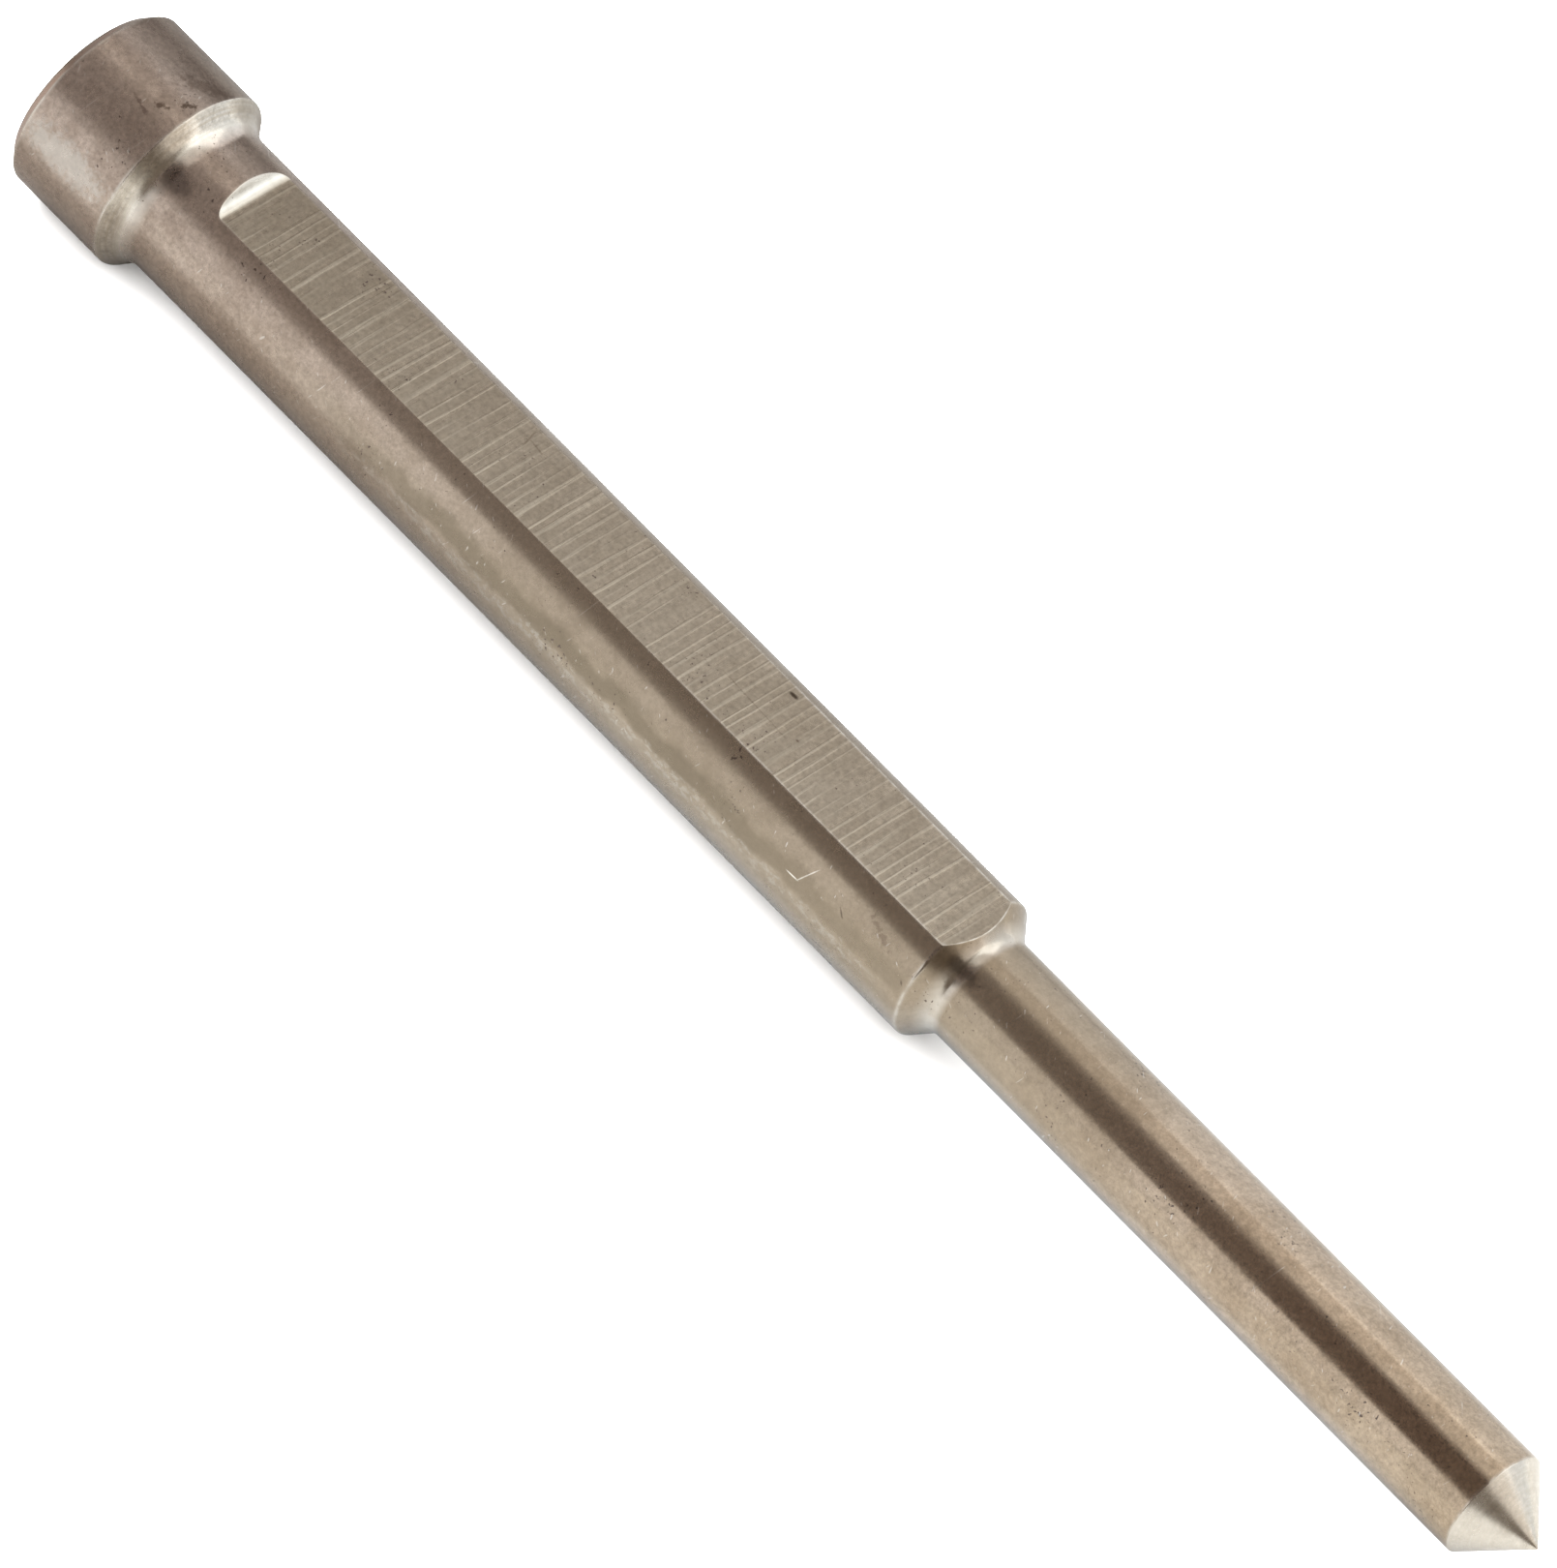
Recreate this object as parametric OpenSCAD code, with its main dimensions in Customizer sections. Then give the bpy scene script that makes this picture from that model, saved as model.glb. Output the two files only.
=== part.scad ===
// Pilot pin for an annular cutter, also used as a centering punch: one turned steel piece.
// It lies along +X from the head to the point, with the milled flat facing +Z.
// The origin is on the axis, at the centre of the head's end face.

/* [Head] */
// Diameter of the head
head_dia = 7.95; // [7.2:0.05:10]
// Length of the head's full diameter, from its end face to the rim of the cone under it
head_len = 4.85; // [3:0.05:6]
// Chamfer round the head's end face
head_chamfer = 0.4; // [0.1:0.05:0.8]
// Slope of the cone under the head, from the axis
head_cone_angle = 48; // [40:1:60]
// Radius of the fillet between that cone and the shank
head_fillet = 1.1; // [0.2:0.1:1.4]

/* [Shank] */
// Diameter of the shank, which slides in a 6.35 mm bore
shank_dia = 6.3; // [5.5:0.05:6.6]
// Distance from the head's end face to the rim of the shoulder
shoulder_x = 46.9; // [30:0.1:60]
// Broken edge on the shoulder's rim
shoulder_break = 0.08; // [0.02:0.02:0.2]
// Slope of the shoulder's cone, from the axis
shoulder_angle = 46; // [40:1:75]
// Radius of the fillet between the shoulder and the nose
shoulder_fillet = 0.6; // [0.3:0.1:1.2]

/* [Nose and point] */
// Diameter of the nose
nose_dia = 4.45; // [3:0.05:4.6]
// Length of the whole pin, from the head's end face to the point
overall_len = 77; // [70:0.5:102]
// Included angle of the point
point_angle = 88; // [60:1:118]

/* [Milled flat] */
// Depth of the flat below the shank's surface
flat_depth = 0.5; // [0.2:0.05:0.9]
// Distance from the head's end face to where the flat reaches its full depth
flat_start = 8.2; // [7.5:0.1:30]
// Corner radius that the cutter leaves at the flat's end near the head
flat_corner = 0.45; // [0.2:0.05:0.9]

/* [Hidden] */
$fn = 96;

head_r = head_dia / 2;
shank_r = shank_dia / 2;
nose_r = nose_dia / 2;
flat_z = shank_r - flat_depth;
point_x = overall_len - nose_r / tan(point_angle / 2);
over = 1; // how far the milling cutter runs past the metal
bite = 0.002; // how far a fillet cuts into its cone, so that the two meet in a clean edge
seam_turn = 37.5; // turns the start and end of the round faces away from the flat

// A fillet joins a cone, which slopes by angle a from the axis, to a thinner cylinder.
// The cone starts at distance x and radius r. The cylinder's radius is r1, the fillet's is f.
function fillet_top_r(r1, f, a) = r1 + f * (1 - cos(a));
function fillet_top_x(x, r, r1, f, a) = x + (r - fillet_top_r(r1, f, a)) / tan(a);
function fillet_end_x(x, r, r1, f, a) = fillet_top_x(x, r, r1, f, a) + f * sin(a) - bite;

rim_r = shank_r - shoulder_break;
rim_x = shoulder_x + shoulder_break;
head_fillet_r = fillet_top_r(shank_r, head_fillet, head_cone_angle);
head_fillet_x = fillet_top_x(head_len, head_r, shank_r, head_fillet, head_cone_angle);
shank_x = fillet_end_x(head_len, head_r, shank_r, head_fillet, head_cone_angle);
nose_fillet_r = fillet_top_r(nose_r, shoulder_fillet, shoulder_angle);
nose_fillet_x = fillet_top_x(rim_x, rim_r, nose_r, shoulder_fillet, shoulder_angle);
nose_x = fillet_end_x(rim_x, rim_r, nose_r, shoulder_fillet, shoulder_angle);

// Half of the pin's outline, as radius and distance from the head's end face
module half_section() {
    difference() {
        polygon([
            [0, 0],
            [head_r - head_chamfer, 0],
            [head_r, head_chamfer],
            [head_r, head_len],
            [head_fillet_r, head_fillet_x],
            [shank_r, shank_x],
            [shank_r, shoulder_x],
            [rim_r, rim_x],
            [nose_fillet_r, nose_fillet_x],
            [nose_r, nose_x],
            [nose_r, point_x],
            [0, overall_len]
        ]);
        translate([shank_r + head_fillet, shank_x]) circle(r = head_fillet);
        translate([nose_r + shoulder_fillet, nose_x]) circle(r = shoulder_fillet);
    }
}

// Room that the milling cutter sweeps: a block with one round corner, seen from the side
module flat_sweep() {
    side = [flat_start, flat_z];
    high = head_r + over;
    rotate([90, 0, 0])
        linear_extrude(height = head_dia + 2 * over, center = true)
            union() {
                translate(side) square([nose_x + over - flat_start, high - flat_z]);
                translate(side + [-flat_corner, flat_corner])
                    square([2 * flat_corner, high - flat_z - flat_corner]);
                translate(side + [0, flat_corner]) circle(r = flat_corner);
            }
}

module pilot_pin() {
    color([0.56, 0.52, 0.46])
        difference() {
            rotate([0, 90, 0]) rotate([0, 0, seam_turn]) rotate_extrude() half_section();
            flat_sweep();
        }
}

pilot_pin();
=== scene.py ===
import math

import bmesh
import bpy
import numpy as np
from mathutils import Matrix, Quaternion, Vector


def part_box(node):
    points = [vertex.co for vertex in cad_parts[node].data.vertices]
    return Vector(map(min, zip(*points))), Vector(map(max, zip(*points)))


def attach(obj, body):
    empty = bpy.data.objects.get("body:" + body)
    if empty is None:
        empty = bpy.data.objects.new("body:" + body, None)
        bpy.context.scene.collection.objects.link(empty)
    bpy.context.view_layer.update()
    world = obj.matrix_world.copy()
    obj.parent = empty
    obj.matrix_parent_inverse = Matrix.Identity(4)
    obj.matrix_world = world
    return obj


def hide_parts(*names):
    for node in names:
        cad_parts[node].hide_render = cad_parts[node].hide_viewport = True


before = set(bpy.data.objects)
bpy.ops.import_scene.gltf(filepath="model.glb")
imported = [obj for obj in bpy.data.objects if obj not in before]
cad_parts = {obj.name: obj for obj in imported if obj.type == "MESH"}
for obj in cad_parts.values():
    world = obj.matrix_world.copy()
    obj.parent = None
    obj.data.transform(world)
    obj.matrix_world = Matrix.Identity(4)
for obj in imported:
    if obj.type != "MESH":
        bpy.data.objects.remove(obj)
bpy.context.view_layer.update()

mm = 0.001
print("frame loaded:", ", ".join(sorted(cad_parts)))

pinShape = {  # millimetres and degrees
    "headLength": 4.85,
    "headChamfer": 0.4,
    "headConeAngle": 48,
    "headFillet": 1.1,
    "shankRadius": 3.15,
    "shoulderAt": 46.9,
    "shoulderAngle": 46,
    "shoulderFillet": 0.6,
    "noseRadius": 2.225,
    "pointAngle": 88,
    "flatDepth": 0.5,
    "flatStart": 8.34,
    "flatCorner": 0.5,
    "flatWallAngle": 60,  # steepest wall where the milling cutter came in
    "flatEdgeBreak": 0.018,
    "endRounding": 0.07,  # small breaks that a stone leaves on the turned rims
    "headRimRounding": 0.05,
    "shoulderRounding": 0.16,
    "pointRimRounding": 0.05,
    "tipRounding": 0.07,
}

pinMesh = {
    "flatColumns": 14,
    "roundColumns": 96,
    "longStep": 0.45,  # mm between rings along plain lengths
    "arcStep": 6,  # degrees between rings round a fillet
    "wallRings": 14,
    "coneRings": 6,
    "rimRings": (0.04, 0.09, 0.15),  # mm from each rim, for the wear along it
    "tipRings": 6,
}

pinWearAndHighlight = {  # how bright each edge is rubbed, and how fresh each cut is, partly a painted highlight, from 0 to 1
    "flatEdgeReach": 0.045,  # mm
    "rimReach": 0.07,
    "flatEdge": ((7.9, 8.2, 9, 30, 36), (1, 0.7, 0.25, 0.2, 1)),  # mm along the pin, and wear there
    "headFillet": 0.65,
    "shoulderFillet": 0.5,
    "point": 0.45,
    "brightWallSlope": 0.8,
}

low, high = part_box("pilot_pin")
headRadius = high.y / mm
pinLength = high.x / mm
shankRadius = pinShape["shankRadius"]
flatHeight = shankRadius - pinShape["flatDepth"]
flatHalfAngle = math.acos(flatHeight / shankRadius)


# rounds one corner of the turned outline with an arc that touches both sides
def roundedCorner(before, corner, after, radius, step):
    a = (before - corner).normalized()
    b = (after - corner).normalized()
    half = a.angle(b) / 2
    middle = corner + (a + b).normalized() * (radius / math.sin(half))
    start = corner + a * (radius / math.tan(half)) - middle
    end = corner + b * (radius / math.tan(half)) - middle
    turn = math.atan2(start.x * end.y - start.y * end.x, start.dot(end))
    count = max(3, math.ceil(abs(math.degrees(turn)) / step))
    points = []
    for i in range(count + 1):
        c, s = math.cos(turn * i / count), math.sin(turn * i / count)
        points.append(middle + Vector((start.x * c - start.y * s, start.x * s + start.y * c)))
    return points


# the outline that the lathe turned, from the middle of the head's end to the point
def turnedOutline(shape):
    slope = math.tan(math.radians(shape["headConeAngle"]))
    headConeEnd = shape["headLength"] + (headRadius - shankRadius) / slope
    slope = math.tan(math.radians(shape["shoulderAngle"]))
    shoulderConeEnd = shape["shoulderAt"] + (shankRadius - shape["noseRadius"]) / slope
    halfPoint = math.radians(shape["pointAngle"] / 2)
    pointRim = pinLength - shape["noseRadius"] / math.tan(halfPoint)
    corners = [
        (0, 0, 0),
        (0, headRadius - shape["headChamfer"], shape["endRounding"]),
        (shape["headChamfer"], headRadius, shape["endRounding"]),
        (shape["headLength"], headRadius, shape["headRimRounding"]),
        (headConeEnd, shankRadius, shape["headFillet"]),
        (shape["shoulderAt"], shankRadius, shape["shoulderRounding"]),
        (shoulderConeEnd, shape["noseRadius"], shape["shoulderFillet"]),
        (pointRim, shape["noseRadius"], shape["pointRimRounding"]),
        (pinLength, 0, 0),
    ]
    places = [Vector(c[:2]) for c in corners]
    outline = [places[0]]
    for i in range(1, len(corners) - 1):
        arc = roundedCorner(*places[i - 1 : i + 2], corners[i][2], pinMesh["arcStep"])
        gap = (arc[0] - outline[-1]).length
        along = abs(arc[0].y - outline[-1].y) < 1e-6  # a plain cylinder takes long steps
        pieces = math.ceil(gap / pinMesh["longStep"]) if along or i == 1 else pinMesh["coneRings"]
        last = outline[-1]
        stops = {k / pieces for k in range(1, pieces)}
        if gap > 0.5:
            near = {ring / gap for ring in pinMesh["rimRings"]}
            stops |= near | {1 - k for k in near}
        outline += [last.lerp(arc[0], k) for k in sorted(stops)]
        outline += arc
    tip = shape["tipRounding"]
    middle = Vector((pinLength - tip / math.sin(halfPoint), 0))
    touch = middle + Vector((math.sin(halfPoint), math.cos(halfPoint))) * tip
    last = outline[-1]
    outline += [last.lerp(touch, k / 12) for k in range(1, 12)]
    for k in range(pinMesh["tipRings"]):
        a = halfPoint + (math.pi / 2 - halfPoint) * k / pinMesh["tipRings"]
        outline.append(middle + Vector((math.sin(a), math.cos(a))) * tip)
    outline.append(middle + Vector((tip, 0)))
    rims = [places[i] for i in (1, 2, 3, 5, 7)]
    return outline, rims, (headConeEnd, shoulderConeEnd, pointRim)


outline, rims, (headConeEnd, shoulderConeEnd, pointRim) = turnedOutline(pinShape)
alongX = np.array([p.x for p in outline])
alongR = np.array([p.y for p in outline])
onShank = alongX > pinShape["headLength"]


# turned radius at a distance along the pin, past the head
def turnedRadius(x):
    return np.interp(x, alongX[onShank], alongR[onShank])


# height of the milling cutter's path over the axis, and its slope
def cutterPath(x):
    corner, start = pinShape["flatCorner"], pinShape["flatStart"]
    steep = math.radians(pinShape["flatWallAngle"])
    back = np.clip(start - x, 0, None)
    onArc = np.minimum(back, corner * math.sin(steep))
    rise = corner - np.sqrt(corner**2 - onArc**2)
    slope = onArc / np.sqrt(corner**2 - onArc**2)
    return flatHeight + rise + (back - onArc) * math.tan(steep), slope


# where the cutter came out of the round shank, for each angle from the top
def flatWallEdge(angles):
    start = pinShape["flatStart"]
    x = np.linspace(start, start - 1, 4001)
    height = cutterPath(x)[0]
    reach = np.interp(shankRadius * np.cos(angles), height, x)
    return np.where(np.abs(angles) < flatHalfAngle, reach, start)


# where the flat runs out on the shoulder's cone
def flatFrontEdge(angles):
    fall = shankRadius - flatHeight / np.cos(np.clip(angles, -flatHalfAngle, flatHalfAngle))
    slope = math.tan(math.radians(pinShape["shoulderAngle"]))
    return pinShape["shoulderAt"] + np.clip(fall, 0, None) / slope


# angles of the columns: close together at the flat's two long edges
def columnAngles():
    steps = [0.16, 0.12, 0.09, 0.065, 0.045, 0.03, 0.02, 0.013, 0.008, 0.004]
    inner = [flatHalfAngle - s for s in steps] + [flatHalfAngle]
    outer = [flatHalfAngle + s for s in (0.004, 0.008, 0.013, 0.02, 0.03, 0.05)]
    side = inner + outer
    count = pinMesh["flatColumns"]
    middle = [inner[0] * (2 * i / count - 1) for i in range(1, count)]
    count = pinMesh["roundColumns"]
    span = 2 * math.pi - 2 * outer[-1]
    rest = [outer[-1] + span * i / count for i in range(1, count)]
    return np.array([-a for a in reversed(side)] + middle + side + rest)


# every ring is a distance along the pin for each column; rings follow the flat's curved ends
def ringDistances(angles):
    wrapped = (angles + math.pi) % (2 * math.pi) - math.pi
    wall, front = flatWallEdge(wrapped), flatFrontEdge(wrapped)
    start = pinShape["flatStart"]
    same = np.ones_like(angles)
    coneFoot = shoulderConeEnd - pinShape["shoulderFillet"] * math.tan(
        math.radians(pinShape["shoulderAngle"] / 2)
    ) * math.cos(math.radians(pinShape["shoulderAngle"]))
    rings = []
    blendFrom = start - 1.3
    for back in (0.75, 0.45, 0.22, 0.1, 0.05, 0.03, 0.018, 0.009):
        rings.append(wall - back * (wall - blendFrom) / (start - 0.6 - blendFrom))
    count = pinMesh["wallRings"]
    depth = np.arcsin(np.clip((start - wall) / pinShape["flatCorner"], 0, 0.999))
    rings.append(wall)
    for i in range(1, count):
        onArc = start - pinShape["flatCorner"] * np.sin(depth * (1 - i / count))
        rings.append(np.maximum(onArc, wall + 0.0015 * i))
    plainFrom, plainTo = start + 0.06, pinShape["shoulderAt"] - 0.9
    rings.append(same * (start + 0.03))
    count = math.ceil((plainTo - plainFrom) / pinMesh["longStep"])
    rings += [same * (plainFrom + (plainTo - plainFrom) * i / count) for i in range(count + 1)]
    for back in (0.55, 0.3, 0.16, 0.09, 0.06, 0.045, 0.034, 0.024, 0.015, 0.007):
        rings.append(front - back * (front - plainTo) / (pinShape["shoulderAt"] - plainTo))
    rings.append(front)
    for ahead in (0.008, 0.016, 0.026, 0.038, 0.052, 0.08, 0.12):
        rings.append(front + ahead)
    last = rings[-1]
    for i in range(1, 5):
        rings.append(last + (coneFoot - last) * i / 5)
    return rings, start - 1.3, coneFoot


# which finish a face has, from where it lies: 0 ground, 1 milled, 2 turned
def finishAt(x, cut):
    if cut:
        return 1
    onHeadCone = pinShape["headLength"] < x < headConeEnd - 0.1
    return 2 if onHeadCone or x > pointRim or x < 1e-4 else 0


# how fresh the cut is along a ring, partly a painted highlight: in the two fillets, on the point
# and on the flat's wall
def freshnessAndHighlight(x, slope, over):
    head, shoulder = headConeEnd, shoulderConeEnd
    headStops = (pinShape["headLength"], head - 0.4, head - 0.05, head + 0.45)
    shoulderStops = (shoulder - 0.5, shoulder - 0.1, shoulder + 0.1, shoulder + 0.4)
    fresh = np.interp(x, headStops, (0, 0, pinWearAndHighlight["headFillet"], 0))
    peak = pinWearAndHighlight["shoulderFillet"]
    fresh += np.interp(x, shoulderStops, (0, peak, peak, 0))
    fresh = np.where(x > pointRim, pinWearAndHighlight["point"], fresh)
    return np.where(over > 0, np.clip(slope / pinWearAndHighlight["brightWallSlope"], 0, 1), fresh)


def buildPin():
    angles = columnAngles()
    middle, blendFrom, coneFoot = ringDistances(angles)
    rings = []
    for x, r in zip(alongX, alongR):
        if x < blendFrom - 0.1:
            rings.append((np.full_like(angles, x), np.full_like(angles, r)))
    rings += [(ring, turnedRadius(ring)) for ring in middle]
    for x, r in zip(alongX, alongR):
        if x > coneFoot - 1e-4:
            rings.append((np.full_like(angles, x), np.full_like(angles, r)))
    rings = rings[1:-1]  # the first and last are single points on the axis
    cosine = np.cos(angles)
    facing = np.where(cosine > 0.2, cosine, 0.2)
    mesh = bmesh.new()
    edgeLayer = mesh.verts.layers.float.new("rubbedEdge")
    freshAndHighlightLayer = mesh.verts.layers.float.new("freshCutAndHighlight")
    table, cuts = [], []
    for x, r in rings:
        height, slope = cutterPath(x)
        over = np.where((x > blendFrom) & (cosine > 0.2), r - height / facing, -1)
        soft = pinShape["flatEdgeBreak"] * np.sqrt(1 + slope**2)
        eased = np.where(over < -soft, 0, (over + soft) ** 2 / (4 * soft))
        taken = np.where(over > soft, over, eased)
        radius = r - taken
        away = np.abs(over) / np.sqrt(0.4 + slope**2)  # about the distance to the flat's edge
        nearRim = np.min([np.hypot(x - p.x, radius - p.y) for p in rims], axis=0)
        worn = np.interp(x, *pinWearAndHighlight["flatEdge"])
        worn = worn * np.exp(-((away / pinWearAndHighlight["flatEdgeReach"]) ** 2))
        rubbed = np.maximum(worn, np.exp(-((nearRim / pinWearAndHighlight["rimReach"]) ** 2)))
        fresh = freshnessAndHighlight(x, slope, over)
        row = []
        for i in range(len(angles)):
            vert = mesh.verts.new(
                (x[i] * mm, radius[i] * math.sin(angles[i]) * mm, radius[i] * cosine[i] * mm)
            )
            vert[edgeLayer] = float(rubbed[i])
            vert[freshAndHighlightLayer] = float(fresh[i])
            row.append(vert)
        table.append(row)
        cuts.append(over)
    wide = len(angles)
    for k in range(len(table) - 1):
        a, b = table[k], table[k + 1]
        for i in range(wide):
            j = (i + 1) % wide
            face = mesh.faces.new((a[i], a[j], b[j], b[i]))
            face.smooth = True
            x = (a[i].co.x + b[j].co.x) / 2 / mm
            cut = (cuts[k][i] + cuts[k + 1][j] + cuts[k][j] + cuts[k + 1][i]) > 0
            face.material_index = finishAt(x, cut)
    for row, x in ((table[0], outline[0].x), (table[-1], outline[-1].x)):
        end = mesh.verts.new((x * mm, 0, 0))
        for i in range(wide):
            face = mesh.faces.new((row[i], row[(i + 1) % wide], end))
            face.smooth = True
            face.material_index = 2
    bmesh.ops.recalc_face_normals(mesh, faces=mesh.faces)
    data = bpy.data.meshes.new("turnedPin")
    mesh.to_mesh(data)
    mesh.free()
    pin = bpy.data.objects.new("turnedPin", data)
    bpy.context.scene.collection.objects.link(pin)
    even = pin.modifiers.new("evenShading", "WEIGHTED_NORMAL")
    even.mode = "FACE_AREA"
    even.weight = 60
    return pin


pin = buildPin()
print("pin built:", len(pin.data.vertices), "points,", len(pin.data.polygons), "faces")


# small helpers for the shader trees
def addNode(tree, kind, links=None, **settings):
    node = tree.nodes.new("ShaderNode" + kind)
    for name, value in settings.items():
        setattr(node, name, value)
    for name, value in (links or {}).items():
        socket = node.inputs[name]
        if isinstance(value, bpy.types.NodeSocket):
            tree.links.new(value, socket)
        else:
            socket.default_value = value
    return node


def addMath(tree, operation, a, b=0.0, clamp=False):
    node = addNode(tree, "Math", {0: a, 1: b}, operation=operation, use_clamp=clamp)
    return node.outputs[0]


def times(tree, a, b, clamp=False):
    return addMath(tree, "MULTIPLY", a, b, clamp)


def plus(tree, a, b, clamp=False):
    return addMath(tree, "ADD", a, b, clamp)


def minus(tree, a, b):
    return addMath(tree, "SUBTRACT", a, b)


def addRange(tree, value, fromLow, fromHigh, toLow=0.0, toHigh=1.0, smooth=True):
    inputs = {"Value": value, "From Min": fromLow, "From Max": fromHigh}
    inputs |= {"To Min": toLow, "To Max": toHigh}
    kind = "SMOOTHSTEP" if smooth else "LINEAR"
    return addNode(tree, "MapRange", inputs, interpolation_type=kind).outputs["Result"]


# rises from 0 to 1 between the first two values, and falls again between the last two
def addBand(tree, value, riseFrom, riseTo, fallFrom, fallTo):
    rise = addRange(tree, value, riseFrom, riseTo)
    return times(tree, rise, addRange(tree, value, fallFrom, fallTo, 1.0, 0.0))


def addMix(tree, factor, a, b):
    node = addNode(tree, "Mix", data_type="RGBA")
    for socket, value in ((node.inputs[0], factor), (node.inputs[6], a), (node.inputs[7], b)):
        if isinstance(value, bpy.types.NodeSocket):
            tree.links.new(value, socket)
        else:
            socket.default_value = value
    return node.outputs[2]


def addScale(tree, colour, factor):
    node = addNode(tree, "VectorMath", {0: colour, "Scale": factor}, operation="SCALE")
    return node.outputs["Vector"]


# a point's place on the pin, whole or as its three distances
def placeOn(tree):
    return addNode(tree, "TexCoord").outputs["Object"]


def partsOf(tree, place):
    return addNode(tree, "SeparateXYZ", {0: place}).outputs


def newGroup(name, inputs, outputs):
    group = bpy.data.node_groups.new(name, "ShaderNodeTree")
    for label, kind, value in inputs:
        socket = group.interface.new_socket(label, in_out="INPUT", socket_type="NodeSocket" + kind)
        socket.default_value = value
    for label, kind in outputs:
        group.interface.new_socket(label, in_out="OUTPUT", socket_type="NodeSocket" + kind)
    given = group.nodes.new("NodeGroupInput").outputs
    made = group.nodes.new("NodeGroupOutput").inputs
    return group, given, made


def useGroup(tree, group, **values):
    node = tree.nodes.new("ShaderNodeGroup")
    node.node_tree = group
    for name, value in values.items():
        label = name[0].upper() + "".join(" " + c if c.isupper() else c for c in name[1:])
        socket = node.inputs[label]
        if isinstance(value, bpy.types.NodeSocket):
            tree.links.new(value, socket)
        else:
            socket.default_value = value
    return node.outputs


def plainNoise(tree, place, scale, detail, rough):
    inputs = {"Vector": place, "Scale": scale, "Detail": detail, "Roughness": rough}
    return addNode(tree, "TexNoise", inputs).outputs["Fac"]


def noise(tree, place, scale, detail=3.0, rough=0.5, stretch=(1, 1, 1), shift=(0, 0, 0)):
    moved = addNode(tree, "Mapping", {"Vector": place, "Scale": stretch, "Location": shift})
    return plainNoise(tree, moved.outputs[0], scale, detail, rough)


# noise about zero
def sway(tree, place, scale, detail, rough, amount):
    return times(tree, minus(tree, noise(tree, place, scale, detail, rough), 0.5), amount)


# cloudy oxide on bare steel: broad clouds, small mottling and a fine grain
def makeTarnish():
    group, given, made = newGroup(
        "tarnishClouds",
        [
            ("Clean", "Color", (0.4, 0.35, 0.3, 1)),
            ("Stained", "Color", (0.2, 0.15, 0.1, 1)),
            ("Amount", "Float", 0.5),
            ("Grain", "Float", 0.3),
        ],
        [("Color", "Color"), ("Mask", "Float"), ("Height", "Float")],
    )
    place = placeOn(group)
    broad = noise(group, place, 240, 2.5, 0.55)
    small = noise(group, place, 1300, 4.0, 0.65, shift=(0.31, 0.12, 0.07))
    fine = noise(group, place, 5200, 4.0, 0.75, shift=(0.11, 0.42, 0.2))
    clouds = times(group, addRange(group, broad, 0.35, 0.65), 0.5)
    clouds = plus(group, clouds, times(group, addRange(group, small, 0.3, 0.7), 0.5))
    mask = times(group, clouds, given["Amount"], clamp=True)
    grainy = times(group, minus(group, fine, 0.5), given["Grain"])
    colour = addMix(group, mask, given["Clean"], given["Stained"])
    group.links.new(addScale(group, colour, plus(group, 1.0, grainy)), made["Color"])
    group.links.new(mask, made["Mask"])
    height = plus(group, times(group, small, 0.5), times(group, fine, 0.5))
    group.links.new(height, made["Height"])
    return group


# dark specks and small pits, thinly strewn
def makeSpecks():
    group, given, made = newGroup(
        "specksAndPits",
        [("Size", "Float", 0.2), ("Amount", "Float", 0.5)],
        [("Mask", "Float"), ("Height", "Float")],
    )
    place = placeOn(group)
    scale = addMath(group, "DIVIDE", 1000.0, given["Size"])
    clump = noise(group, place, 420, 2.0, 0.5, shift=(0.5, 0.1, 0.9))
    bits = plainNoise(group, place, scale, 2.0, 0.5)
    edge = minus(group, 0.86, times(group, given["Amount"], 0.2))
    edge = minus(group, edge, times(group, minus(group, clump, 0.5), 0.5))
    mask = addRange(group, minus(group, bits, edge), 0.0, 0.06)
    group.links.new(mask, made["Mask"])
    group.links.new(times(group, mask, -1.0), made["Height"])
    return group


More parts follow.
